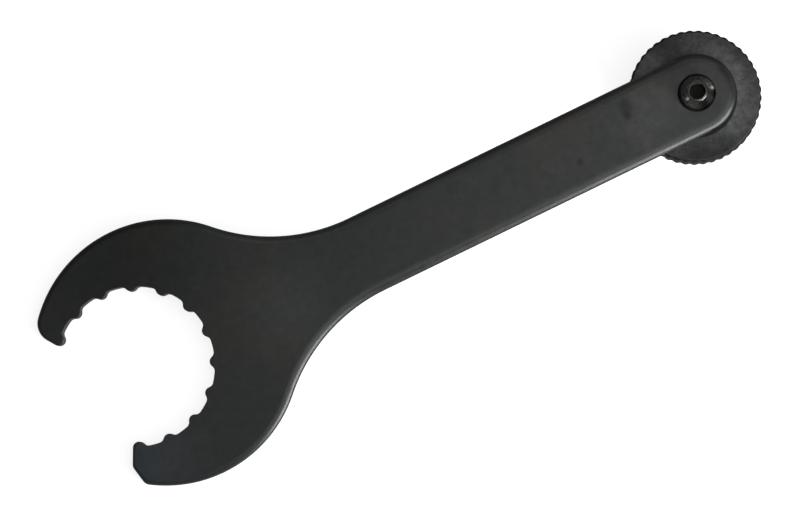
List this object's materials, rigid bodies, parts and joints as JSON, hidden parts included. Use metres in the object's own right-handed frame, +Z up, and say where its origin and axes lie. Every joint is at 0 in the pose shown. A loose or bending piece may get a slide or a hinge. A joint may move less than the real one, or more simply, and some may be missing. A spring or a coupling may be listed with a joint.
{
  "type": "crank installation wrench",
  "caption": "Flat steel wrench with an open notched jaw for bottom bracket cups and a knurled finger wheel on its handle that drives a crank preload cap.",
  "frame": {"origin": "centre of the tool's footprint on the table that it rests on", "axes": "+X runs along the handle from the jaw to the finger wheel, +Z is up from the table, on the side of the screw's head, and +Y completes the frame"},
  "size_m": [0.2126, 0.0742, 0.0246],
  "materials": {
    "black_plate": "satin black coating on steel, slightly mottled",
    "black_steel": "black oxide with a faint sheen",
    "white_nylon": "plain off-white nylon",
    "zinc_steel": "bright zinc plate",
    "dark_nylon": "moulded dark plastic, slightly mottled"
  },
  "bodies": {
    "wrench": {"wrench_body": "black_plate", "spacer_washer": "white_nylon"},
    "driver": {"preload_wheel": "dark_nylon", "lock_nut": "zinc_steel", "pivot_screw": "black_steel"}
  },
  "joints": [
    {"name": "driver_spin", "type": "hinge", "parent": "wrench", "child": "driver", "pos_m": [0.08652, 0.00016, 0.02072], "axis": [-0.0857, -0.0141, 0.9962], "continuous": true}
  ]
}
